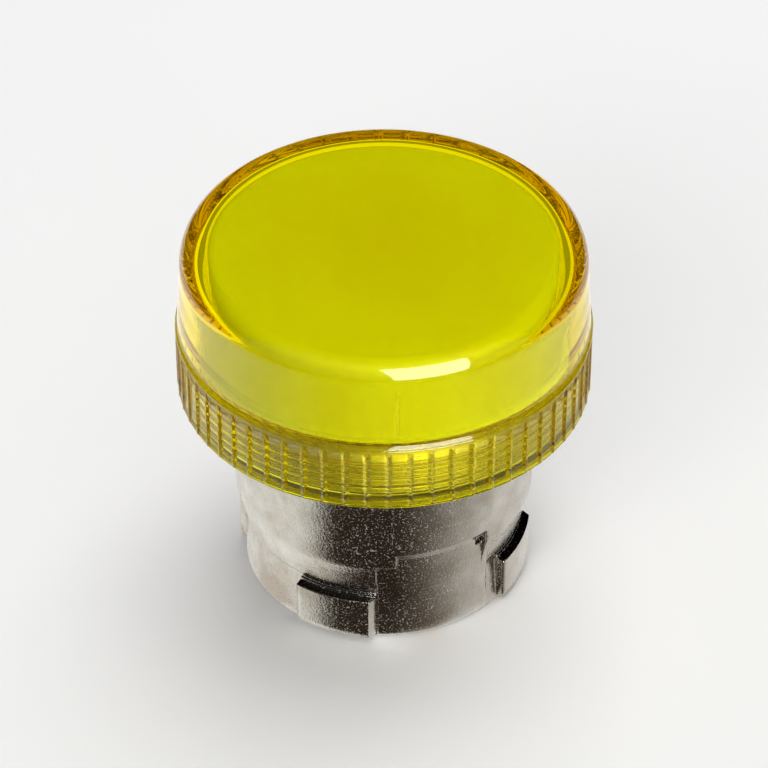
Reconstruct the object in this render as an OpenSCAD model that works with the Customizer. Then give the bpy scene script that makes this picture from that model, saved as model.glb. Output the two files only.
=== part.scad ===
// Indicator light head for a 22 mm panel hole.
// Origin: centre of the panel's front surface. +Z points out of the panel to the viewer.
// The lens side is above Z = 0 and the mounting barrel is below it.
// The bearing "angle" of a feature is counted from -Y towards +X.

/* [Lens cap] */
// Diameter over the tips of the knurling
skirt_d = 29; // [28.9:0.05:29.2]
// Height of the knurled skirt
skirt_h = 4.65; // [4.55:0.05:4.75]
// Number of ribs round the skirt
rib_count = 62; // [40:2:64]
// Width of one rib at its tip
rib_w = 0.42; // [0.3:0.02:0.5]
// Depth of the flutes between the ribs
flute_depth = 0.2; // [0.1:0.05:0.3]
// Outer radius of the smooth wall just above the skirt
wall_r_low = 14.36; // [14.3:0.02:14.4]
// Outer radius of the smooth wall where the rim's rounding starts
wall_r_high = 14.05; // [13.95:0.05:14.1]
// Radius of the rounding between wall and front face
rim_r = 1.85; // [1.7:0.05:1.9]
// Height of the rim above the panel
rim_z = 12.4; // [12.3:0.05:12.6]
// How far the front face swells above the rim
dome_h = 0.35; // [0.2:0.05:0.6]

/* [Screw thread] */
// Pitch of the thread between lens cap and casting
thread_pitch = 0.75; // [0.75:0.05:0.8]
// Crest radius of the thread on the casting
thread_crest_r = 13.2; // [13.15:0.01:13.22]
// Depth of the thread on the casting
thread_depth = 0.42; // [0.36:0.02:0.42]
// Radial clearance between the two threads
thread_play = 0.13; // [0.12:0.01:0.14]

/* [Casting] */
// Radius of the collar that stands in the panel hole
collar_r = 10.6; // [10.55:0.01:10.65]
// Depth at which the collar starts to taper
collar_depth = 8.4; // [8.3:0.1:8.6]
// Radius of the barrel's rear edge
barrel_r = 10; // [9.98:0.01:10.05]
// Length of the barrel behind the panel's front surface
barrel_depth = 15.4; // [15.2:0.1:15.6]
// Outer radius of the bayonet lugs
lug_r = 10.5; // [10.4:0.05:10.6]
// Height of a bayonet lug
lug_h = 3.4; // [3.2:0.1:3.5]
// Angle that one lug spans
lug_span = 33; // [30:0.5:33]
// Radius of the socket that takes the light unit
socket_r = 9; // [8.95:0.01:9.05]

/* [Hidden] */
$fn = 96;

// Clearance between the skirt and the panel
skirt_gap = 0.5;
skirt_r = skirt_d / 2;
skirt_top = skirt_gap + skirt_h;
// Bearing angle of one rib
rib_angle = 1.2;
// The plain bead between skirt and smooth wall
bead_r = 0.2;
bead_top = skirt_top + 2 * bead_r;
rim_centre_z = rim_z - rim_r;
rim_centre_r = wall_r_high - rim_r;

// Casting
flange_z = 0.9;
thread_top = 4.1;
casting_top = 4.75;
// Radius of the plain rim above the thread, which holds the seal
pilot_r = 12.55;
gasket_seat_r = 10.8;
lug_step_h = 0.25;
lug_count = 4;
lug_first = -36.2;
lug_chamfer = 0.5;
lug_bottom = -barrel_depth + 0.3;
neck_z = lug_bottom + lug_h;
neck_r = 9.8;
pad_r = 10.15;
pad_left = -2.5;
pad_right = 45.6;
// The seat above the pad: a low part up to the step, then a higher one with a bevelled edge
seat_left = -3.1;
seat_step = 4.7;
seat_right = 42.5;
seat_low = -8.55;
seat_high = -8.02;
seat_bevel_h = 0.72;
pocket_r = 9.75;

// Bore of the casting, from the rear to the front
socket_top = -8;
ring_room_r = 8.8;
ring_shoulder = -5;
guide_r = 8.4;
guide_top = -2;
cup_r = 10.5;
cup_floor = 1.6;

// Keys of the diffuser and their slots in the casting
key_r = 11.15;
key_w = 2;
key_play = 0.1;
key_floor = 1.6;

// Light tube
tube_r = 8.3;
tube_bore_r = 7.5;
tube_rear = -7.4;
tube_top = 3.9;
wire_r = 0.3;
ring_gap = 32;

// Seal between diffuser and casting
seal_r = 11.8;
seal_w = 0.7;
seal_groove = 0.5;
seal_top = 4.97;

// Diffuser
diffuser_bottom = 5.05;
diffuser_low_r = 12.4;
diffuser_edge_r = 12.25;
diffuser_rounding = 0.8;
diffuser_bore_r = 11.05;
diffuser_top = 10.9;
diffuser_wall = 1.2;
lip_r = 12.78;
lip_h = 0.3;
mark_angle = 4.1;

// The cap's thread starts below its mouth, so that it is full depth there
cap_thread_low = flange_z - 0.04 - 2 * thread_pitch;

// Cavity of the lens cap
cavity_low_r = 12.95;
cavity_low = 4.4;
cavity_high_r = 12.62;
cavity_top = 11.1;
cavity_rounding = 0.8;
snap_z = 4.75;
snap_r = 0.25;

function dome_radius(r) = (r * r + dome_h * dome_h) / (2 * dome_h);

// Turns a feature from +X to its bearing angle
module at_angle(a) rotate([0, 0, a - 90]) children();

// A piece of a ring between two bearing angles
module ring_sector(r_in, r_out, low, high, from, to)
    at_angle(from)
        rotate_extrude(angle = to - from)
            translate([r_in, low])
                square([r_out - r_in, high - low]);

// Half of a flat-topped outline whose top swells by dome_h over radius r
module domed_half(r, low, high) {
    translate([0, low])
        square([r, high - low]);
    intersection() {
        translate([0, high - 0.01])
            square([r, dome_h + 0.02]);
        translate([0, high + dome_h - dome_radius(r)])
            circle(r = dome_radius(r), $fn = 360);
    }
}

// A solid rod with an outside screw thread, from low to high.
// Each column of points holds the rod's foot, the corners of the ridge turn by turn,
// and the rod's head; one turn raises a column by exactly one pitch.
module threaded_rod(root_r, crest_r, low, high, crest_w, base_w) {
    steps = 36;
    flank = (base_w - crest_w) / 2;
    rise = [0, flank, flank + crest_w, base_w];
    ridge = [0, 1, 1, 0];
    run_in = 0.15;
    turns = floor((high - low - 2 * run_in - base_w) / thread_pitch);
    rows = 4 * (turns + 1);
    // The ridge grows over the first half turn and fades over the last one
    function swell(t) = max(0, min(1, 2 * t, 2 * (turns - t)));
    function row_point(i, j) =
        let (t = floor(j / 4) + i / steps,
             r = root_r + (crest_r - root_r) * ridge[j % 4] * swell(t),
             a = 360 * i / steps)
        [r * cos(a), r * sin(a), low + run_in + t * thread_pitch + rise[j % 4]];
    // The seam column shares its rows with column 0, one turn up
    foot = [for (i = [0:steps - 1])
        [root_r * cos(360 * i / steps), root_r * sin(360 * i / steps), low]];
    head = [for (i = [0:steps - 1])
        [root_r * cos(360 * i / steps), root_r * sin(360 * i / steps), high]];
    first = [for (j = [0:rows - 1]) row_point(0, j)];
    others = [for (i = [1:steps - 1]) for (j = [0:rows - 5]) row_point(i, j)];
    first_at = 2 * steps;
    others_at = first_at + rows;
    function id(i, j) =
        i == 0 ? first_at + j
        : i == steps ? first_at + j + 4
        : others_at + (i - 1) * (rows - 4) + j;
    function foot_id(i) = i % steps;
    function head_id(i) = steps + i % steps;
    top_row = rows - 5;
    sides = [for (i = [0:steps - 1]) for (j = [0:top_row - 1]) for (f = [
        [id(i, j), id(i, j + 1), id(i + 1, j + 1)],
        [id(i, j), id(i + 1, j + 1), id(i + 1, j)]]) f];
    foot_band = [for (i = [0:steps - 2]) for (f = [
        [foot_id(i), id(i, 0), id(i + 1, 0)],
        [foot_id(i), id(i + 1, 0), foot_id(i + 1)]]) f];
    head_band = [for (i = [1:steps - 1]) for (f = [
        [id(i, top_row), head_id(i), head_id(i + 1)],
        [id(i, top_row), head_id(i + 1), id(i + 1, top_row)]]) f];
    // The seam: the foot band meets the first four rows, the head band the last four
    last = steps - 1;
    seam_foot = concat(
        [[foot_id(last), id(last, 0), foot_id(steps)]],
        [[id(last, 0), id(0, 0), foot_id(0)]],
        [for (j = [0:3]) [id(last, 0), id(0, j + 1), id(0, j)]]);
    seam_head = concat(
        [for (j = [top_row:rows - 2]) [id(0, j), id(0, j + 1), id(1, top_row)]],
        [[id(0, rows - 1), head_id(0), id(1, top_row)]],
        [[head_id(0), head_id(1), id(1, top_row)]]);
    cap_foot = [[for (i = [0:steps - 1]) foot_id(i)]];
    cap_head = [[for (i = [steps - 1:-1:0]) head_id(i)]];
    polyhedron(
        points = concat(foot, head, first, others),
        faces = concat(sides, foot_band, head_band, seam_foot, seam_head, cap_foot, cap_head));
}

// Outside of the barrel: collar, taper, neck and rear edge
module barrel_outside()
    rotate_extrude()
        polygon([
            [0, -barrel_depth],
            [barrel_r - 0.25, -barrel_depth],
            [barrel_r, -barrel_depth + 0.25],
            [neck_r, neck_z - 0.3],
            [neck_r, neck_z + 0.2],
            [neck_r + 0.25, neck_z + 0.9],
            [collar_r - 0.25, -collar_depth - 0.9],
            [collar_r, -collar_depth],
            [collar_r, 0],
            [gasket_seat_r, 0],
            [gasket_seat_r, flange_z + 0.5],
            [0, flange_z + 0.5]]);

// Shallow seat sunk into the collar between two lugs; bevel_h is the height of its upper edge
module seat(top, bevel_h, from, to)
    at_angle(from)
        rotate_extrude(angle = to - from)
            polygon([
                [pad_r, neck_z - 2],
                [collar_r + 1, neck_z - 2],
                [collar_r + 1, top + bevel_h],
                [collar_r, top + bevel_h],
                [pad_r, top]]);

// The pad that bridges the neck below the seat, down to the rear edge
module pad()
    difference() {
        ring_sector(neck_r - 0.4, pad_r, -barrel_depth, seat_low, pad_left, pad_right);
        rotate_extrude()
            polygon([
                [barrel_r, -barrel_depth - 1],
                [barrel_r + 1, -barrel_depth - 1],
                [barrel_r + 1, -barrel_depth + 0.6],
                [barrel_r + 0.15, -barrel_depth + 0.6],
                [barrel_r, -barrel_depth + 0.25]]);
    }

// One bayonet lug with a step at its root and a bevelled trailing end
module lug(from) {
    to = from + lug_span;
    difference() {
        union() {
            ring_sector(neck_r - 0.4, lug_r, lug_bottom, neck_z, from, to);
            ring_sector(neck_r - 0.4, neck_r + 0.15, neck_z - 0.1, neck_z + lug_step_h, from, to);
        }
        at_angle(to)
            translate([lug_r, 0, lug_bottom - 1])
                rotate([0, 0, 45])
                    translate([-lug_chamfer / sqrt(2), -2, 0])
                        cube([4, 4, lug_h + 2]);
    }
}

// The hollow through the casting, from the rear socket to the front cup
module casting_bore() {
    rotate_extrude()
        polygon([
            [0, -barrel_depth - 1],
            [socket_r + 0.3, -barrel_depth - 1],
            [socket_r + 0.3, -barrel_depth],
            [socket_r, -barrel_depth + 0.3],
            [socket_r, socket_top],
            [ring_room_r, socket_top],
            [ring_room_r, ring_shoulder],
            [guide_r, ring_shoulder],
            [guide_r, guide_top],
            [cup_r, cup_floor],
            [cup_r, casting_top + 1],
            [0, casting_top + 1]]);
    for (side = [-90, 90])
        at_angle(side)
            translate([cup_r - 1, -key_w / 2 - key_play, key_floor])
                cube([key_r + key_play - cup_r + 1, key_w + 2 * key_play, casting_top]);
    // Groove for the lens seal
    translate([0, 0, casting_top - seal_groove])
        difference() {
            cylinder(r = seal_r + seal_w / 2 + 0.02, h = 1);
            translate([0, 0, -0.5])
                cylinder(r = seal_r - seal_w / 2 - 0.02, h = 2);
        }
}

module body_casting()
    color("darkgray")
        difference() {
            union() {
                difference() {
                    barrel_outside();
                    seat(seat_high, seat_bevel_h, seat_step, seat_right);
                    seat(seat_low, 0, seat_left, seat_step + 0.5);
                }
                threaded_rod(thread_crest_r - thread_depth, thread_crest_r,
                    flange_z, thread_top, 0.18, 0.52);
                translate([0, 0, flange_z + 0.5])
                    cylinder(r = pilot_r, h = casting_top - flange_z - 0.5);
                pad();
                for (i = [0:lug_count - 1])
                    lug(lug_first + i * 360 / lug_count);
            }
            casting_bore();
            // Small pocket at the far end of the seat
            ring_sector(pocket_r, collar_r + 1, seat_low - 0.05, seat_high + 0.5,
                seat_right - 3, seat_right - 0.2);
        }

module panel_gasket()
    color("dimgray")
        rotate_extrude() {
            translate([gasket_seat_r, 0])
                square([1.3, flange_z]);
            translate([gasket_seat_r + 1.3, 0])
                square([0.5, flange_z - 0.3]);
            translate([gasket_seat_r + 1.3, flange_z - 0.3])
                intersection() {
                    circle(r = 0.3);
                    square(1);
                }
        }

module light_tube()
    color("whitesmoke")
        rotate_extrude()
            polygon([
                [tube_bore_r, tube_rear],
                [tube_r - 0.2, tube_rear],
                [tube_r, tube_rear + 0.2],
                [tube_r, ring_shoulder - 2 * wire_r - 0.05],
                [guide_r - wire_r, ring_shoulder - 2 * wire_r - 0.05],
                [guide_r - wire_r, ring_shoulder],
                [tube_r, ring_shoulder],
                [tube_r, guide_top],
                [cup_r - 0.1, cup_floor],
                [cup_r - 0.1, tube_top],
                [cup_r - 0.8, tube_top],
                [cup_r - 0.9, cup_floor + 0.1],
                [tube_bore_r, guide_top - 0.1]]);

module tube_snap_ring()
    color("lightsteelblue")
        at_angle(180 + ring_gap / 2)
            rotate_extrude(angle = 360 - ring_gap)
                translate([guide_r, ring_shoulder - wire_r])
                    circle(r = wire_r);

module lens_seal()
    color("black")
        rotate_extrude() {
            translate([seal_r - seal_w / 2, casting_top - seal_groove])
                square([seal_w, seal_top - casting_top + seal_groove - seal_w / 2]);
            translate([seal_r, seal_top - seal_w / 2])
                circle(r = seal_w / 2);
        }

module diffuser()
    color("yellowgreen")
        difference() {
            union() {
                rotate_extrude() {
                    polygon([
                        [0, diffuser_bottom],
                        [diffuser_low_r, diffuser_bottom],
                        [diffuser_edge_r, diffuser_top - diffuser_rounding],
                        [0, diffuser_top - diffuser_rounding]]);
                    translate([diffuser_edge_r - diffuser_rounding, diffuser_top - diffuser_rounding])
                        circle(r = diffuser_rounding);
                    domed_half(diffuser_edge_r - diffuser_rounding, diffuser_top - 1.3, diffuser_top);
                    translate([diffuser_low_r - 1, diffuser_bottom])
                        square([lip_r - diffuser_low_r + 1, lip_h]);
                }
                // Keys that slide in the casting
                for (side = [-90, 90])
                    at_angle(side)
                        translate([cup_r + 0.05, -key_w / 2, key_floor + 0.2])
                            cube([key_r - cup_r - 0.05, key_w, diffuser_bottom + 2 - key_floor]);
            }
            difference() {
                translate([0, 0, diffuser_bottom - 1])
                    cylinder(r = diffuser_bore_r, h = diffuser_top - diffuser_wall - diffuser_bottom + 1);
                for (side = [-90, 90])
                    at_angle(side)
                        translate([cup_r + 0.05, -key_w / 2, key_floor])
                            cube([key_r, key_w, diffuser_bottom + 2.2 - key_floor]);
            }
            // Fine upright mark that shows which way the diffuser is keyed
            at_angle(mark_angle)
                translate([diffuser_low_r - 0.05, 0, diffuser_bottom + 0.4])
                    cylinder(r = 0.15, h = 3.7, $fn = 24);
        }

// Outline of the lens cap's outside, one half
module cap_outside() {
    translate([0, skirt_gap])
        square([skirt_r, skirt_h + bead_r]);
    translate([0, skirt_top + bead_r - 0.05])
        square([skirt_r - bead_r, bead_r + 0.05]);
    translate([skirt_r - bead_r, skirt_top + bead_r])
        circle(r = bead_r);
    polygon([
        [0, bead_top - 0.05],
        [wall_r_low, bead_top - 0.05],
        [wall_r_high, rim_centre_z],
        [0, rim_centre_z]]);
    translate([rim_centre_r, rim_centre_z])
        circle(r = rim_r);
    domed_half(rim_centre_r, rim_centre_z - 0.1, rim_z);
}

// Outline of the cavity above the thread, one half, with the bead that holds the diffuser
module cap_cavity() {
    difference() {
        polygon([
            [0, cavity_low],
            [cavity_low_r, cavity_low],
            [cavity_low_r, diffuser_bottom + lip_h + 0.15],
            [cavity_high_r, cavity_top - cavity_rounding],
            [0, cavity_top - cavity_rounding]]);
        translate([cavity_low_r, snap_z])
            circle(r = snap_r);
    }
    translate([cavity_high_r - cavity_rounding, cavity_top - cavity_rounding])
        circle(r = cavity_rounding);
    domed_half(cavity_high_r - cavity_rounding, cavity_top - 1.5, cavity_top);
}

// Concave flutes that leave the ribs of the knurling standing
module flutes() {
    flute_w = 2 * PI * skirt_r / rib_count - rib_w;
    cutter_r = (flute_w * flute_w / 4 + flute_depth * flute_depth) / (2 * flute_depth);
    for (i = [0:rib_count - 1])
        at_angle(rib_angle + (i + 0.5) * 360 / rib_count)
            translate([skirt_r - flute_depth + cutter_r, 0, skirt_gap - 1])
                cylinder(r = cutter_r, h = skirt_h + 1, $fn = 32);
}

module lens_cap()
    color("gold", 0.6)
        difference() {
            rotate_extrude()
                cap_outside();
            flutes();
            rotate_extrude()
                cap_cavity();
            threaded_rod(thread_crest_r - thread_depth + thread_play + 0.02,
                thread_crest_r + thread_play, cap_thread_low, cavity_low + 0.2, 0.28, 0.6);
            // Lead-in at the mouth of the thread
            translate([0, 0, skirt_gap - 0.1])
                cylinder(r1 = thread_crest_r + 0.3, r2 = thread_crest_r - 0.3, h = 0.6);
        }

body_casting();
panel_gasket();
light_tube();
tube_snap_ring();
lens_seal();
diffuser();
lens_cap();
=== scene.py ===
"""Panel indicator light head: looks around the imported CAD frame.

Shapes are written in millimetres and turned into metres when a mesh is made.
A bearing is counted from -Y towards +X, as in the part's source.
"""
import math

import bpy
import numpy as np
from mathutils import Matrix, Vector


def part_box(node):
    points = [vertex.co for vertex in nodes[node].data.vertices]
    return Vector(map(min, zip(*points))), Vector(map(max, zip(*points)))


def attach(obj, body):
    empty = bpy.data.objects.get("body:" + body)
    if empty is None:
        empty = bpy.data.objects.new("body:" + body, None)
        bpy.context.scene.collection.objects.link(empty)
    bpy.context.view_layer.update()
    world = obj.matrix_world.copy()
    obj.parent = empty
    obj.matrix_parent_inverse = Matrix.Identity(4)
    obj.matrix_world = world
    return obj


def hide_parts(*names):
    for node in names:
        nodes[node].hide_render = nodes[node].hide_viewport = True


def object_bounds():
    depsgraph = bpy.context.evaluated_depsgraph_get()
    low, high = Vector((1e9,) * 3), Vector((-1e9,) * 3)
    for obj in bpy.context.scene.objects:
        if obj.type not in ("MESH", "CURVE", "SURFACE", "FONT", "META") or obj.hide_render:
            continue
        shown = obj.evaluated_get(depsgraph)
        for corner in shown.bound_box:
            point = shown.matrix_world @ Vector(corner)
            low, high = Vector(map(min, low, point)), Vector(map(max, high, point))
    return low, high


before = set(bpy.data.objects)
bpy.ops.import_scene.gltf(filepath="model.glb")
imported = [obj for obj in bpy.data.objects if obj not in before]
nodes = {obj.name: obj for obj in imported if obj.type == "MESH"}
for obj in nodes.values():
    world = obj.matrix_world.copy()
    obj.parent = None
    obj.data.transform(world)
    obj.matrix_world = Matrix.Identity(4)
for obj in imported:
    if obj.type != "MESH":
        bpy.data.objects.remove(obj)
CAD_BOX = [list(corner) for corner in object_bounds()]
MM = 0.001
scene = bpy.context.scene
scene.view_settings.view_transform = "Standard"
# The clear lens bends and mirrors a ray many times before it leaves
scene.cycles.max_bounces = 24
scene.cycles.glossy_bounces = 16
scene.cycles.transmission_bounces = 24


# ---------------------------------------------------------------- camera
# The photograph's view: from the front, 39 degrees above the panel's plane
CAMERA_DISTANCE = 0.260
CAMERA_ELEVATION = math.radians(39.03)
CAMERA_PITCH = math.radians(39.197)
CAMERA_TARGET_Z = 0.5 * MM
CAMERA_LENS_MM = 173.7


def make_camera():
    data = bpy.data.cameras.new("camera")
    data.lens = CAMERA_LENS_MM
    data.sensor_width = 36.0
    data.clip_start = 0.005
    camera = bpy.data.objects.new("camera", data)
    scene.collection.objects.link(camera)
    camera.location = (
        0.0,
        -CAMERA_DISTANCE * math.cos(CAMERA_ELEVATION),
        CAMERA_DISTANCE * math.sin(CAMERA_ELEVATION) + CAMERA_TARGET_Z,
    )
    camera.rotation_euler = (math.pi / 2 - CAMERA_PITCH, 0.0, 0.0)
    scene.camera = camera


make_camera()


# ---------------------------------------------------------------- sizes, from the CAD frame
def node_mm(name):
    low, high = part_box(name)
    return np.array(low) / MM, np.array(high) / MM


cap_low, cap_high = node_mm("lens_cap")
casting_low, casting_high = node_mm("body_casting")

SKIRT_R = cap_high[0]
SKIRT_LOW = cap_low[2]
SKIRT_TOP = SKIRT_LOW + 4.65
CAP_TOP = cap_high[2]
CASTING_TOP = casting_high[2]
THREAD_TOP = CASTING_TOP - 0.65
PILOT_R = 12.55
BARREL_LOW = casting_low[2]
# The gasket's upper side, on which the casting's flange sits
FLANGE_Z = node_mm("panel_gasket")[1][2]
PITCH = 0.75
THREAD_PHASE = FLANGE_Z + 0.41


# ---------------------------------------------------------------- mesh helpers
def smooth_step(x):
    x = np.clip(x, 0.0, 1.0)
    return x * x * (3.0 - 2.0 * x)


def arc(centre_r, centre_z, radius, start, stop, count):
    """Points of an arc in the (r, z) plane, angles in degrees from +r."""
    a = np.radians(np.linspace(start, stop, count))
    return [(centre_r + radius * math.cos(t), centre_z + radius * math.sin(t)) for t in a]


def line(start, stop, count):
    """Points from start to stop, without the last one."""
    steps = np.linspace(0.0, 1.0, count, endpoint=False)
    return [(start[0] + (stop[0] - start[0]) * t, start[1] + (stop[1] - start[1]) * t)
            for t in steps]


def bearing_angles(bearings_deg):
    return np.radians(np.asarray(bearings_deg) - 90.0)


def skin(name, angles, radius, height, poles=None):
    """A closed mesh from rows of rings; without poles the last row joins the first."""
    rows, cols = radius.shape
    x = radius * np.cos(angles)[None, :]
    y = radius * np.sin(angles)[None, :]
    points = np.stack([x, y, height], axis=-1).reshape(-1, 3)
    last_row = rows - 1 if poles else rows
    r, c = np.meshgrid(np.arange(last_row), np.arange(cols), indexing="ij")
    below = (r + 1) % rows
    beside = (c + 1) % cols
    quads = np.stack([r * cols + c, below * cols + c, below * cols + beside, r * cols + beside],
                     axis=-1).reshape(-1, 4)
    faces = quads.tolist()
    if poles:
        top, end = len(points), len(points) + 1
        points = np.vstack([points, [[0.0, 0.0, poles[0]], [0.0, 0.0, poles[1]]]])
        first = (rows - 1) * cols
        for k in range(cols):
            following = (k + 1) % cols
            faces.append([top, k, following])
            faces.append([end, first + following, first + k])
    mesh = bpy.data.meshes.new(name)
    mesh.from_pydata((points * MM).tolist(), [], faces)
    mesh.validate()
    mesh.polygons.foreach_set("use_smooth", np.ones(len(mesh.polygons), dtype=bool))
    piece = bpy.data.objects.new(name, mesh)
    scene.collection.objects.link(piece)
    return piece


def helix_offset(angles, z):
    """Height above the nearest turn of the thread's centre line."""
    turn = angles[None, :] / (2.0 * math.pi)
    h = (z - THREAD_PHASE - PITCH * turn) / PITCH
    return np.abs(h - np.round(h)) * PITCH


# ---------------------------------------------------------------- lens cap
RIB_COUNT = 62
RIB_PITCH_DEG = 360.0 / RIB_COUNT
RIB_PITCH_MM = 2.0 * math.pi * SKIRT_R / RIB_COUNT
RIB_BEARING = 1.2
RIB_HALF = 0.29
FLUTE_DEPTH = 0.19
# Places across one rib pitch, in mm from the rib's middle, where the mesh has columns
RIB_STOPS = [0.0, 0.05, 0.10, 0.145, 0.19, 0.24, 0.29, 0.33, 0.5]

# The front: a shallow dome inside a rounded rim
DOME_RISE = 0.35
RIM_R = 1.85
RIM_CENTRE = (12.2, CAP_TOP - DOME_RISE - RIM_R)
BEAD_R = 0.2
WALL_HIGH_R = 14.04
WALL_LOW_R = 14.36
# The cavity: its low and high radius, its front's height, and the bead that holds the diffuser
CAVITY_LOW_R = 12.95
CAVITY_HIGH_R = 12.62
CAVITY_EDGE_Z = 11.1
CAVITY_CORNER = (11.82, 10.3)
CAVITY_CORNER_R = 0.8
SNAP_Z = 4.75
SNAP_R = 0.25
# The female thread: crest radius, depth, and the height where it runs out
NUT_CREST_R = 12.93
NUT_DEPTH = 0.40
NUT_TOP = 4.32


def dome(edge_r, edge_z, rise, count, outwards=True):
    """Points of a shallow dome's outline, without its middle."""
    sphere = (edge_r * edge_r + rise * rise) / (2.0 * rise)
    radii = edge_r * np.linspace(0.0, 1.0, count + 1)[1:]
    points = [(r, edge_z + rise - sphere + math.sqrt(sphere * sphere - r * r)) for r in radii]
    return points if outwards else points[::-1]


def rib_bearings():
    """Bearings of the lens's columns: the same places across every rib."""
    stops = RIB_STOPS + [-s for s in RIB_STOPS[:0:-1]]
    offsets = sorted(s / RIB_PITCH_MM * RIB_PITCH_DEG for s in stops)
    offsets.append(RIB_PITCH_DEG / 2.0)
    return np.array([RIB_BEARING + k * RIB_PITCH_DEG + o
                     for k in range(RIB_COUNT) for o in offsets])


def flute(bearings):
    """0 on a rib's tip to 1 at the bottom of a flute."""
    u = (bearings - RIB_BEARING) / RIB_PITCH_DEG
    s = np.abs(u - np.round(u)) * RIB_PITCH_MM
    return smooth_step(s / RIB_HALF)


def make_lens():
    bearings = rib_bearings()
    angles = bearing_angles(bearings)
    bead_z = SKIRT_TOP + BEAD_R
    outer = dome(RIM_CENTRE[0], CAP_TOP - DOME_RISE, DOME_RISE, 9)
    outer += arc(*RIM_CENTRE, RIM_R, 86, 0, 16)
    outer += line((WALL_HIGH_R, RIM_CENTRE[1] - 0.4), (WALL_LOW_R, bead_z + 0.19), 6)
    outer += arc(SKIRT_R - BEAD_R, bead_z, BEAD_R, 72, -60, 8)
    outer += [(SKIRT_R - 0.06, SKIRT_TOP - 0.03)]
    outer += line((SKIRT_R, SKIRT_TOP - 0.1), (SKIRT_R, SKIRT_LOW + 0.12), 5)
    outer += arc(SKIRT_R - 0.1, SKIRT_LOW + 0.1, 0.1, 0, -80, 4)
    mouth = [(14.0, SKIRT_LOW), (13.55, SKIRT_LOW), (13.4, SKIRT_LOW + 0.04)]
    thread = [(NUT_CREST_R, z) for z in np.linspace(SKIRT_LOW + 0.12, NUT_TOP, 56)]
    inner = [(NUT_CREST_R, NUT_TOP + 0.06), (CAVITY_LOW_R, NUT_TOP + 0.12)]
    inner += arc(CAVITY_LOW_R, SNAP_Z, SNAP_R, 250, 110, 5)
    inner += [(CAVITY_LOW_R, 5.06), (CAVITY_LOW_R, 5.4)]
    inner += line((CAVITY_LOW_R - 0.01, 5.5), (CAVITY_HIGH_R, CAVITY_CORNER[1]), 6)
    inner += arc(*CAVITY_CORNER, CAVITY_CORNER_R, 0, 86, 11)
    inner += dome(CAVITY_CORNER[0], CAVITY_EDGE_Z, DOME_RISE, 8, outwards=False)

    path = np.array(outer + mouth + thread + inner)
    radius = np.repeat(path[:, 0:1], len(angles), axis=1)
    height = np.repeat(path[:, 1:2], len(angles), axis=1)
    # Flutes of the knurling, fading out under the bead and at the lower edge
    skirt = slice(len(outer) - 10, len(outer) + 1)
    z = height[skirt]
    fade = smooth_step((SKIRT_TOP - 0.02 - z) / 0.12) * smooth_step((z - SKIRT_LOW + 0.05) / 0.3)
    radius[skirt] -= FLUTE_DEPTH * fade * flute(bearings)[None, :]
    # The female thread, with a lead-in at the mouth
    first = len(outer) + len(mouth)
    turns = slice(first, first + len(thread))
    z = height[turns]
    groove = np.clip((0.30 - helix_offset(angles, z)) / 0.16, 0.0, 1.0)
    groove *= smooth_step((NUT_TOP - z) / 0.4)
    lead_in = 13.45 - 2.0 * (z - SKIRT_LOW)
    radius[turns] = np.maximum(NUT_CREST_R + NUT_DEPTH * groove, lead_in)
    poles = (CAP_TOP, CAVITY_EDGE_Z + DOME_RISE)
    return skin("lens_shell", angles, radius, height, poles=poles)


# ---------------------------------------------------------------- casting
COLLAR_R = 10.6
# The bayonet lugs: bearings where they start, the step at their root and their bevelled end
LUG_STARTS = [-126.2, -36.2, 53.8, 143.8]
LUG_SPAN = 33.0
LUG_R = 10.5
LUG_TOP = BARREL_LOW + 3.7
LUG_LOW = BARREL_LOW + 0.3
LUG_STEP = 0.25
LUG_STEP_R = 9.95
LUG_BEVEL = 0.5
LUG_BEVEL_DEG = 2.8
# The pad, and the seat above it with its low part, its bevelled edge and its pocket
PAD_R = 10.15
PAD_SPAN = (-2.5, 45.6)
SEAT_LOW = -8.55
SEAT_HIGH = -8.02
SEAT_BEVEL = 0.72
SEAT_STOPS = (-3.1, 4.7, 42.5)
POCKET_R = 9.78
POCKET_SPAN = (SEAT_STOPS[2] - 3.0, SEAT_STOPS[2] - 0.2)
POCKET_Z = (-8.6, -7.5)
# Inside: socket, ring room, guide and cup, and the slots for the diffuser's keys
SOCKET_R = 9.0
RING_ROOM_R = 8.8
GUIDE_R = 8.4
CUP_R = 10.5
KEY_BEARINGS = (-90.0, 90.0)
KEY_SLOT_DEPTH = 0.75
SEAL_GROOVE = (11.43, 12.17)
SEAL_GROOVE_DEPTH = 0.5
# The male thread
SCREW_ROOT_R = 12.78
SCREW_DEPTH = 0.41
# Width over which an edge is softened
EDGE = 0.07
# The radius at which bearings on the barrel are turned into lengths
BARREL_MEAN_R = 10.2
BARREL_PROFILE = [
    (-15.4, 9.75), (-15.35, 9.84), (-15.2, 9.98), (-15.05, 10.0), (-12.0, 9.8), (-11.5, 9.8),
    (-11.2, 9.86), (-10.8, 10.05), (-9.3, 10.35), (-8.9, 10.45), (-8.55, 10.55), (-8.25, 10.6),
    (-0.1, 10.6), (0.0, 10.6)]


def between(x, low, high, width=EDGE):
    """1 between low and high, with softened edges; x, low and high in mm."""
    return smooth_step((x - low) / width + 0.5) * smooth_step((high - x) / width + 0.5)


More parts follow.
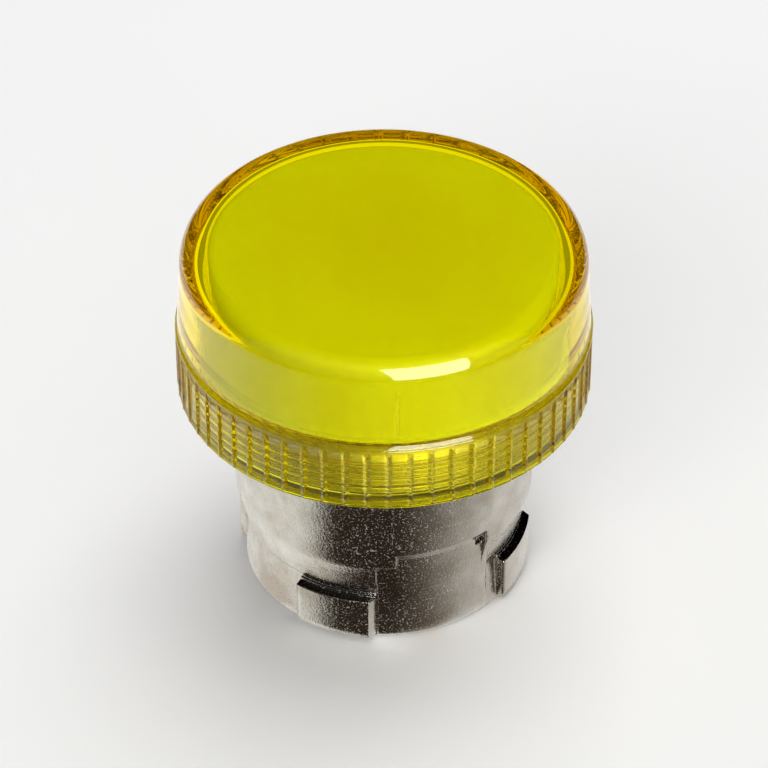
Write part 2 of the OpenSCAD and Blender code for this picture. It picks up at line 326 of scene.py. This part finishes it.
def barrel_radius(bearings, z):
    """Outer radius of the barrel below the panel, on a grid of bearings and heights."""
    heights, radii = zip(*BARREL_PROFILE)
    r = np.interp(z, heights, radii)
    mm_per_degree = math.radians(BARREL_MEAN_R)
    s = bearings[None, :] * mm_per_degree

    def span(start, stop, width=EDGE):
        return between(s, start * mm_per_degree, stop * mm_per_degree, width)

    seat_r = PAD_R + (COLLAR_R - PAD_R) * np.clip((z - SEAT_HIGH) / SEAT_BEVEL, 0.0, 1.0)
    r = r - np.maximum(r - seat_r, 0.0) * span(SEAT_STOPS[1], SEAT_STOPS[2])
    under = smooth_step((SEAT_LOW - z) / EDGE + 0.5)
    r = r - np.maximum(r - PAD_R, 0.0) * span(SEAT_STOPS[0], SEAT_STOPS[1] + 0.2) * under
    pad_end = np.interp(z, [-15.4, -15.2, -14.9, -14.7], [9.75, 9.98, 10.12, PAD_R])
    r = r + np.maximum(pad_end - r, 0.0) * span(*PAD_SPAN) * under
    pocket = span(*POCKET_SPAN) * between(z, *POCKET_Z)
    r = r + (POCKET_R - r) * pocket
    for start in LUG_STARTS:
        stop = start + LUG_SPAN
        gap = (stop - bearings[None, :]) * mm_per_degree
        crown = LUG_R - np.maximum(LUG_BEVEL - gap, 0.0)
        reach = span(start, stop)
        high = smooth_step((LUG_TOP - z) / EDGE + 0.5) * smooth_step((z - LUG_LOW) / EDGE + 0.5)
        r = r + np.maximum(crown - r, 0.0) * reach * high
        step = smooth_step((LUG_TOP + LUG_STEP - z) / EDGE + 0.5)
        r = r + np.maximum(LUG_STEP_R - r, 0.0) * reach * step
    return r


def spaced(values, gap):
    """The sorted values, without those closer than the gap to the one before."""
    kept = []
    for value in sorted(values):
        if not kept or value - kept[-1] > gap:
            kept.append(value)
    return kept


def casting_bearings():
    """Bearings of the casting's columns, close together at each edge."""
    stops = set(np.round(np.arange(-180.0, 180.0, 2.0), 3))
    edges = []
    for start in LUG_STARTS:
        for edge in (start, start + LUG_SPAN, start + LUG_SPAN - LUG_BEVEL_DEG):
            edges.append((edge + 180.0) % 360.0 - 180.0)
    edges += [*PAD_SPAN, *SEAT_STOPS, *POCKET_SPAN]
    for side in KEY_BEARINGS:
        edges += [side - 5.9, side + 5.9]
    for edge in edges:
        for offset in (-0.24, -0.14, -0.05, 0.05, 0.14, 0.24):
            stops.add(round(edge + offset, 3))
    return np.array(spaced(stops, 0.045))


def barrel_levels():
    """Heights of the barrel's rows from the top down, close together at each edge."""
    levels = {round(v, 3) for v in np.linspace(-15.05, -0.15, 34)}
    for edge in (LUG_TOP, LUG_TOP + LUG_STEP, LUG_LOW, SEAT_LOW, SEAT_HIGH,
                 SEAT_HIGH + SEAT_BEVEL, *POCKET_Z, -9.3, -10.8, -11.2):
        for offset in (-0.045, -0.018, 0.018, 0.045):
            levels.add(round(edge + offset, 3))
    return [-depth for depth in spaced([-level for level in levels], 0.012)]


def make_casting():
    bearings = casting_bearings()
    angles = bearing_angles(bearings)
    top = [(PILOT_R - 0.04, CASTING_TOP), (PILOT_R, CASTING_TOP - 0.04),
           (PILOT_R, THREAD_TOP + 0.3), (PILOT_R, THREAD_TOP + 0.02),
           (PILOT_R + 0.02, THREAD_TOP), (SCREW_ROOT_R - 0.02, THREAD_TOP)]
    thread = [(SCREW_ROOT_R, z) for z in np.linspace(THREAD_TOP - 0.04, FLANGE_Z + 0.08, 52)]
    flange = [(SCREW_ROOT_R - 0.02, FLANGE_Z + 0.02), (12.7, FLANGE_Z), (10.86, FLANGE_Z),
              (10.8, FLANGE_Z - 0.06), (10.8, 0.04), (10.78, 0.0), (10.64, 0.0), (COLLAR_R, -0.05)]
    barrel = [(COLLAR_R, level) for level in barrel_levels()]
    rear = [(9.98, -15.2), (9.9, -15.3), (9.75, -15.4), (9.33, -15.4), (9.2, -15.3),
            (SOCKET_R, -15.1)]
    bore = [(SOCKET_R, -12.0), (SOCKET_R, -8.06), (SOCKET_R - 0.03, -8.0)]
    bore += [(RING_ROOM_R + 0.03, -8.0), (RING_ROOM_R, -8.04), (RING_ROOM_R, -5.04),
             (RING_ROOM_R - 0.03, -5.0)]
    bore += [(GUIDE_R + 0.04, -5.0), (GUIDE_R, -4.96), (GUIDE_R, -2.04), (GUIDE_R + 0.03, -1.95)]
    bore += line((8.6, -1.66), (10.42, 1.46), 5)
    bore += [(10.47, 1.54), (CUP_R, 1.6)]
    bore += [(CUP_R, z) for z in (1.64, 1.7, 2.5, 3.5, 4.5, 4.69)] + [(10.56, CASTING_TOP)]
    near, far = SEAL_GROOVE
    bottom = CASTING_TOP - SEAL_GROOVE_DEPTH
    groove = [(near - 0.04, CASTING_TOP), (near, CASTING_TOP - 0.04), (near, bottom + 0.03),
              (near + 0.04, bottom), (far - 0.04, bottom), (far, bottom + 0.03),
              (far, CASTING_TOP - 0.04), (far + 0.04, CASTING_TOP)]
    parts = [top, thread, flange, barrel, rear, bore, groove]
    starts = np.cumsum([0] + [len(part) for part in parts])
    path = np.array([point for part in parts for point in part])
    radius = np.repeat(path[:, 0:1], len(angles), axis=1)
    height = np.repeat(path[:, 1:2], len(angles), axis=1)

    # The male thread, running out at both ends
    turns = slice(starts[1], starts[2])
    z = height[turns]
    ridge = np.clip((0.26 - helix_offset(angles, z)) / 0.17, 0.0, 1.0)
    ridge *= smooth_step((THREAD_TOP - 0.1 - z) / 0.5) * smooth_step((z - FLANGE_Z - 0.1) / 0.4)
    radius[turns] = SCREW_ROOT_R + SCREW_DEPTH * ridge

    # The barrel, with the first row of the rear edge
    outside = slice(starts[3], starts[4] + 1)
    radius[outside] = barrel_radius(bearings, height[outside])

    # Key slots beside the cup
    slots = slice(starts[6] - 7, starts[6])
    for side in KEY_BEARINGS:
        s = (bearings - side) * math.radians(10.8)
        radius[slots] += KEY_SLOT_DEPTH * between(s, -1.1, 1.1, 0.06)[None, :]
    return skin("cast_barrel", angles, radius, height)


# ---------------------------------------------------------------- material helpers
def new_material(name):
    material = bpy.data.materials.new(name)
    material.use_nodes = True
    tree = material.node_tree
    tree.nodes.clear()
    shader = tree.nodes.new("ShaderNodeBsdfPrincipled")
    output = tree.nodes.new("ShaderNodeOutputMaterial")
    tree.links.new(shader.outputs["BSDF"], output.inputs["Surface"])
    return material, tree, shader, output


def dress(obj, material):
    obj.data.materials.clear()
    obj.data.materials.append(material)


def object_coords(tree):
    return tree.nodes.new("ShaderNodeTexCoord").outputs["Object"]


def noise(tree, coords, scale, detail=2.0, rough=0.5):
    node = tree.nodes.new("ShaderNodeTexNoise")
    node.inputs["Scale"].default_value = scale
    node.inputs["Detail"].default_value = detail
    node.inputs["Roughness"].default_value = rough
    tree.links.new(coords, node.inputs["Vector"])
    return node.outputs["Fac"]


def ramp(tree, value, stops):
    node = tree.nodes.new("ShaderNodeValToRGB")
    elements = node.color_ramp.elements
    while len(elements) < len(stops):
        elements.new(0.5)
    for element, (place, color) in zip(elements, stops):
        element.position = place
        element.color = (*color, 1.0) if len(color) == 3 else color
    tree.links.new(value, node.inputs["Fac"])
    return node.outputs["Color"]


def grey_ramp(tree, value, low, high, at=(0.3, 0.7)):
    return ramp(tree, value, [(at[0], (low,) * 3), (at[1], (high,) * 3)])


def bump(tree, heights, shader):
    """Chain of bumps; heights is a list of (socket, distance in mm)."""
    previous = None
    for socket, distance in heights:
        node = tree.nodes.new("ShaderNodeBump")
        node.inputs["Strength"].default_value = 1.0
        node.inputs["Distance"].default_value = distance * MM
        tree.links.new(socket, node.inputs["Height"])
        if previous:
            tree.links.new(previous, node.inputs["Normal"])
        previous = node.outputs["Normal"]
    tree.links.new(previous, shader.inputs["Normal"])


# ---------------------------------------------------------------- materials
LENS_IOR = 1.50
LENS_ABSORB_COLOR = (0.991, 0.974, 0.10)
LENS_ABSORB_DENSITY = 3000.0
# The diffuser's colour with painted shade: darker in the middle, lighter and greener at the edge
DIFFUSER_MIDDLE_PAINTED_SHADE = (0.54, 0.545, 0.02)
DIFFUSER_EDGE_PAINTED_LIGHT = (0.585, 0.655, 0.03)
# The keying mark on the diffuser's front, where a pale painted highlight is laid along its groove
MARK_PAINTED_HIGHLIGHT = (0.72, 0.75, 0.25, 1.0)
MARK_X = 0.875 * MM
MARK_HALF = 0.10 * MM
MARK_Y = -12.3 * MM
MARK_Z = (5.45 * MM, 9.15 * MM)
ZINC_PATCHES = [(0.35, (0.46, 0.40, 0.34)), (0.5, (0.60, 0.57, 0.52)), (0.68, (0.74, 0.73, 0.69))]
# Painted shade for faces that look up: the ledges and the lugs' tops
ZINC_PAINTED_SHADE = (0.05, 0.045, 0.04, 1.0)
ZINC_THREAD = [(0.3, (0.62, 0.59, 0.54)), (0.7, (0.74, 0.72, 0.68))]
GASKET_COLOR = (0.085, 0.075, 0.062)
SEAL_COLOR = (0.03, 0.03, 0.03)
WHITE_SHADES = [(0.3, (0.78, 0.77, 0.72)), (0.7, (0.84, 0.83, 0.79))]
STEEL_SHADES = [(0.3, (0.42, 0.42, 0.43)), (0.7, (0.58, 0.58, 0.60))]
FLOOR_SHADES = [(0.2, (0.86, 0.86, 0.86)), (0.8, (0.90, 0.90, 0.90))]


def lens_plastic():
    """Polished clear plastic, coloured by what it absorbs on the ray's way through."""
    material, tree, shader, output = new_material("lens_plastic")
    shader.inputs["Base Color"].default_value = (1.0, 1.0, 1.0, 1.0)
    shader.inputs["IOR"].default_value = LENS_IOR
    shader.inputs["Transmission Weight"].default_value = 1.0
    coords = object_coords(tree)
    tree.links.new(grey_ramp(tree, noise(tree, coords, 900.0), 0.02, 0.05),
                   shader.inputs["Roughness"])
    bump(tree, [(noise(tree, coords, 350.0), 0.004)], shader)
    absorb = tree.nodes.new("ShaderNodeVolumeAbsorption")
    absorb.inputs["Color"].default_value = (*LENS_ABSORB_COLOR, 1.0)
    absorb.inputs["Density"].default_value = LENS_ABSORB_DENSITY
    tree.links.new(absorb.outputs["Volume"], output.inputs["Volume"])
    return material


def band(tree, value, middle, half_width):
    """1 where a value is within half_width of the middle."""
    node = tree.nodes.new("ShaderNodeMath")
    node.operation = "COMPARE"
    node.inputs[1].default_value = middle
    node.inputs[2].default_value = half_width
    tree.links.new(value, node.inputs[0])
    return node.outputs["Value"]


def product(tree, a, b):
    """Two values, multiplied."""
    node = tree.nodes.new("ShaderNodeMath")
    node.operation = "MULTIPLY"
    tree.links.new(a, node.inputs[0])
    tree.links.new(b, node.inputs[1])
    return node.outputs["Value"]


def blended(tree, factor, color_a, color_b):
    """From the linked color_a at 0 to the constant color_b at 1."""
    mix = tree.nodes.new("ShaderNodeMix")
    mix.data_type = "RGBA"
    tree.links.new(factor, mix.inputs["Factor"])
    tree.links.new(color_a, mix.inputs["A"])
    mix.inputs["B"].default_value = color_b
    return mix.outputs["Result"]


def diffuser_plastic():
    """Satin translucent plastic, with painted shading that makes it greener and a little lighter
    towards the edge, and a painted highlight along the keying mark.
    """
    material, tree, shader, _ = new_material("diffuser_plastic")
    coords = object_coords(tree)
    axes = tree.nodes.new("ShaderNodeSeparateXYZ")
    tree.links.new(coords, axes.inputs["Vector"])
    flat = tree.nodes.new("ShaderNodeCombineXYZ")
    tree.links.new(axes.outputs["X"], flat.inputs["X"])
    tree.links.new(axes.outputs["Y"], flat.inputs["Y"])
    distance = tree.nodes.new("ShaderNodeVectorMath")
    distance.operation = "LENGTH"
    tree.links.new(flat.outputs["Vector"], distance.inputs[0])
    # Painted shade runs from a darker middle to a lighter, greener edge; the noise adds a faint
    # mottle to its spread
    painted_shade_spread = product(tree, distance.outputs["Value"], noise(tree, coords, 160.0, 3.0))
    skin_color = ramp(tree, painted_shade_spread, [(0.0005, DIFFUSER_MIDDLE_PAINTED_SHADE), (0.0065, DIFFUSER_EDGE_PAINTED_LIGHT)])
    # Painted highlight: the groove of the keying mark, shaded in its hollow, is painted pale
    across = band(tree, axes.outputs["X"], MARK_X, MARK_HALF)
    front = band(tree, axes.outputs["Y"], MARK_Y, 1.0 * MM)
    upright = band(tree, axes.outputs["Z"], sum(MARK_Z) / 2, (MARK_Z[1] - MARK_Z[0]) / 2)
    painted_mark_highlight = product(tree, product(tree, across, front), upright)
    tree.links.new(blended(tree, painted_mark_highlight, skin_color, MARK_PAINTED_HIGHLIGHT), shader.inputs["Base Color"])
    shader.inputs["Subsurface Weight"].default_value = 0.35
    shader.inputs["Subsurface Radius"].default_value = (1.0, 1.0, 0.2)
    shader.inputs["Subsurface Scale"].default_value = 1.2 * MM
    tree.links.new(grey_ramp(tree, noise(tree, coords, 2500.0), 0.42, 0.55),
                   shader.inputs["Roughness"])
    bump(tree, [(noise(tree, coords, 5000.0, 3.0), 0.004)], shader)
    return material


def zinc():
    """Raw die casting: patchy oxide, a mirroring skin, blasted specks, and painted shade on faces
    that look up.
    """
    material, tree, shader, _ = new_material("zinc_casting")
    coords = object_coords(tree)
    patches = noise(tree, coords, 260.0, 5.0, 0.6)
    grain = noise(tree, coords, 6500.0, 2.0, 0.6)
    specks = noise(tree, coords, 8200.0, 1.0, 0.5)
    skin_color = ramp(tree, patches, ZINC_PATCHES)
    # Painted shade: faces that look up, such as the ledges and the lugs' tops, are painted dark
    axes = tree.nodes.new("ShaderNodeSeparateXYZ")
    tree.links.new(tree.nodes.new("ShaderNodeNewGeometry").outputs["True Normal"],
                   axes.inputs["Vector"])
    painted_shade_up = grey_ramp(tree, axes.outputs["Z"], 0.0, 1.0, (0.5, 0.8))
    tree.links.new(blended(tree, painted_shade_up, skin_color, ZINC_PAINTED_SHADE), shader.inputs["Base Color"])
    # Blasted specks scatter the light, the skin between them mirrors it
    tree.links.new(grey_ramp(tree, specks, 1.0, 0.35, (0.63, 0.73)), shader.inputs["Metallic"])
    tree.links.new(grey_ramp(tree, specks, 0.12, 0.42, (0.55, 0.70)), shader.inputs["Roughness"])
    bump(tree, [(grain, 0.024), (noise(tree, coords, 900.0, 3.0), 0.010)], shader)
    return material


def zinc_thread():
    """The cut thread, brighter than the cast skin."""
    material, tree, shader, _ = new_material("zinc_thread")
    coords = object_coords(tree)
    shades = noise(tree, coords, 500.0, 4.0, 0.6)
    tree.links.new(ramp(tree, shades, ZINC_THREAD), shader.inputs["Base Color"])
    shader.inputs["Metallic"].default_value = 0.88
    tree.links.new(grey_ramp(tree, shades, 0.30, 0.22), shader.inputs["Roughness"])
    bump(tree, [(noise(tree, coords, 3000.0, 3.0), 0.008)], shader)
    return material


def rubber(name, base, grain_scale):
    """Matt moulded rubber with a fine grain."""
    material, tree, shader, _ = new_material(name)
    coords = object_coords(tree)
    shades = noise(tree, coords, 700.0, 4.0, 0.6)
    dark = tuple(0.75 * v for v in base)
    light = tuple(1.35 * v for v in base)
    tree.links.new(ramp(tree, shades, [(0.3, dark), (0.7, light)]), shader.inputs["Base Color"])
    tree.links.new(grey_ramp(tree, shades, 0.55, 0.72), shader.inputs["Roughness"])
    bump(tree, [(noise(tree, coords, grain_scale, 4.0, 0.6), 0.015)], shader)
    return material


def white_plastic():
    """Satin white plastic, slightly translucent."""
    material, tree, shader, _ = new_material("white_plastic")
    coords = object_coords(tree)
    shades = noise(tree, coords, 220.0, 3.0)
    tree.links.new(ramp(tree, shades, WHITE_SHADES), shader.inputs["Base Color"])
    tree.links.new(grey_ramp(tree, noise(tree, coords, 1500.0), 0.32, 0.45),
                   shader.inputs["Roughness"])
    shader.inputs["Subsurface Weight"].default_value = 0.1
    shader.inputs["Subsurface Scale"].default_value = 1.0 * MM
    bump(tree, [(noise(tree, coords, 4000.0, 3.0), 0.006)], shader)
    return material


def spring_steel():
    """Drawn wire."""
    material, tree, shader, _ = new_material("spring_steel")
    coords = object_coords(tree)
    drawn = noise(tree, coords, 3000.0, 3.0, 0.6)
    tree.links.new(ramp(tree, drawn, STEEL_SHADES), shader.inputs["Base Color"])
    shader.inputs["Metallic"].default_value = 1.0
    tree.links.new(grey_ramp(tree, drawn, 0.24, 0.38), shader.inputs["Roughness"])
    bump(tree, [(drawn, 0.008)], shader)
    return material


def floor_paint():
    material, tree, shader, _ = new_material("floor_paint")
    coords = object_coords(tree)
    tree.links.new(ramp(tree, noise(tree, coords, 14.0, 4.0), FLOOR_SHADES),
                   shader.inputs["Base Color"])
    shader.inputs["Roughness"].default_value = 0.9
    return material


# ---------------------------------------------------------------- the pieces
lens = make_lens()
dress(lens, lens_plastic())
# The yellow shadow of a clear lens would darken the diffuser
lens.visible_shadow = False
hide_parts("lens_cap")
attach(lens, "cap")

casting = make_casting()
dress(casting, zinc())
casting.data.materials.append(zinc_thread())
for polygon in casting.data.polygons:
    if polygon.center.z > FLANGE_Z * MM:
        polygon.material_index = 1
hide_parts("body_casting")
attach(casting, "housing")

dress(nodes["diffuser"], diffuser_plastic())
dress(nodes["panel_gasket"], rubber("gasket_rubber", GASKET_COLOR, 6000.0))
dress(nodes["lens_seal"], rubber("seal_rubber", SEAL_COLOR, 8000.0))
dress(nodes["light_tube"], white_plastic())
dress(nodes["tube_snap_ring"], spring_steel())


# ---------------------------------------------------------------- stage
# The floor lies just under the barrel, so that the two faces aren't in one plane
FLOOR_GAP = 0.02 * MM
FLOOR_HALF = 1.5
WORLD_STRENGTH = 0.38


def make_floor():
    low = CAD_BOX[0][2] - FLOOR_GAP
    corners = [(-1, -1), (1, -1), (1, 1), (-1, 1)]
    mesh = bpy.data.meshes.new("floor")
    mesh.from_pydata([(FLOOR_HALF * x, FLOOR_HALF * y, low) for x, y in corners],
                     [], [(0, 1, 2, 3)])
    floor = bpy.data.objects.new("floor", mesh)
    scene.collection.objects.link(floor)
    dress(floor, floor_paint())
    floor.visible_glossy = False
    floor.visible_transmission = False


def area(name, place, size, power):
    """A rectangular light that points at the object."""
    data = bpy.data.lights.new(name, "AREA")
    data.shape = "RECTANGLE"
    data.size, data.size_y = size
    data.energy = power
    lamp = bpy.data.objects.new(name, data)
    scene.collection.objects.link(lamp)
    lamp.location = place
    lamp.rotation_euler = (-Vector(place)).to_track_quat("-Z", "Y").to_euler()
    return lamp


# What the metal and the plastics mirror from below the floor: a colour for each bearing
REFLECTOR_Z = -0.5
REFLECTOR_STEP = 0.01
REFLECTOR_R = 3.0
REFLECTOR_SIDES = 36
METAL_REFLECTION = [
    (-90, (1.0, 1.0, 0.95)),
    (-53, (0.74, 0.74, 0.69)),
    (-50, (0.036, 0.024, 0.016)),
    (12, (0.030, 0.021, 0.014)),
    (35, (0.14, 0.12, 0.10)),
    (62, (0.45, 0.43, 0.39)),
    (100, (0.75, 0.73, 0.69)),
    (180, (0.80, 0.78, 0.74)),
    (269, (1.0, 1.0, 0.95)),
]
PLASTIC_REFLECTION = [
    (-90, (1.15, 1.15, 1.12)),
    (-65, (0.62, 0.62, 0.60)),
    (-30, (0.12, 0.11, 0.09)),
    (20, (0.10, 0.09, 0.07)),
    (60, (0.28, 0.27, 0.25)),
    (100, (0.80, 0.79, 0.76)),
    (180, (1.10, 1.10, 1.08)),
    (269, (1.15, 1.15, 1.12)),
]
# A weak sky for the same rays, open at the back, which the flat faces mirror
SKY_R = 2.5
SKY_SPAN = (-80, 80)
SKY_COLOR = (0.15, 0.15, 0.15)


def make_glow(name, points, faces, color, clear=False):
    """A glowing card that only mirrored and refracted rays meet; a clear one lets them pass."""
    mesh = bpy.data.meshes.new(name)
    mesh.from_pydata(points, [], faces)
    card = bpy.data.objects.new(name, mesh)
    scene.collection.objects.link(card)
    material, tree, shader, output = new_material(name)
    glow = tree.nodes.new("ShaderNodeEmission")
    glow.inputs["Color"].default_value = (*color, 1.0)
    tree.nodes.remove(shader)
    surface = glow.outputs["Emission"]
    if clear:
        passing = tree.nodes.new("ShaderNodeBsdfTransparent")
        both = tree.nodes.new("ShaderNodeAddShader")
        tree.links.new(surface, both.inputs[0])
        tree.links.new(passing.outputs["BSDF"], both.inputs[1])
        surface = both.outputs["Shader"]
    tree.links.new(surface, output.inputs["Surface"])
    material.cycles.emission_sampling = "NONE"
    dress(card, material)
    card.visible_camera = False
    card.visible_diffuse = False
    card.visible_shadow = False
    return card, tree, glow


def make_reflector(name, reflection, receivers, z, clear=False):
    """A disc under the floor that only the receivers mirror."""
    rim = np.linspace(0.0, 2.0 * math.pi, REFLECTOR_SIDES, endpoint=False)
    points = [(0.0, 0.0, z)]
    points += [(REFLECTOR_R * math.cos(a), REFLECTOR_R * math.sin(a), z) for a in rim]
    faces = [(0, 1 + k, 1 + (k + 1) % REFLECTOR_SIDES) for k in range(REFLECTOR_SIDES)]
    card, tree, glow = make_glow(name, points, faces, (1.0, 1.0, 1.0), clear)
    turn = tree.nodes.new("ShaderNodeTexGradient")
    turn.gradient_type = "RADIAL"
    tree.links.new(object_coords(tree), turn.inputs["Vector"])
    stops = [((bearing + 90) / 360, color) for bearing, color in reflection]
    tree.links.new(ramp(tree, turn.outputs["Fac"], stops), glow.inputs["Color"])
    group = bpy.data.collections.new(name + "_receivers")
    for piece in receivers:
        group.objects.link(piece)
    card.light_linking.receiver_collection = group


def make_sky():
    around = bearing_angles(np.linspace(*SKY_SPAN, 27))
    up = np.radians(np.linspace(2.0, 70.0, 9))
    points = [(SKY_R * math.cos(e) * math.cos(a), SKY_R * math.cos(e) * math.sin(a),
               SKY_R * math.sin(e)) for e in up for a in around]
    cols = len(around)
    faces = [(r * cols + c, r * cols + c + 1, (r + 1) * cols + c + 1, (r + 1) * cols + c)
             for r in range(len(up) - 1) for c in range(cols - 1)]
    make_glow("sky", points, faces, SKY_COLOR)


def make_lights():
    # Two soft lights that aren't mirrored, and a window that is only mirrored
    for light in (area("key", (-0.15, -0.33, 0.2), (0.25, 0.25), 0.6),
                  area("top", (0.05, 0.15, 0.35), (0.3, 0.3), 1.0)):
        light.visible_glossy = False
        light.visible_transmission = False
    window = area("window", (0.13, -0.3, 0.15), (0.26, 0.32), 2.4)
    window.visible_diffuse = False
    window.visible_transmission = False


def make_world():
    world = bpy.data.worlds.new("world")
    scene.world = world
    world.use_nodes = True
    background = world.node_tree.nodes["Background"]
    background.inputs["Color"].default_value = (1.0, 1.0, 1.0, 1.0)
    background.inputs["Strength"].default_value = WORLD_STRENGTH
    world.cycles_visibility.glossy = False


REPLACED_NODES = ("lens_cap", "body_casting")
plastics = [lens] + [nodes[name] for name in nodes if name not in REPLACED_NODES]
make_floor()
# The metal's card is in front and lets the other pieces' rays pass to theirs
make_reflector("metal_reflector", METAL_REFLECTION, [casting], REFLECTOR_Z, clear=True)
make_reflector("plastic_reflector", PLASTIC_REFLECTION, plastics, REFLECTOR_Z - REFLECTOR_STEP)
make_sky()
make_lights()
make_world()
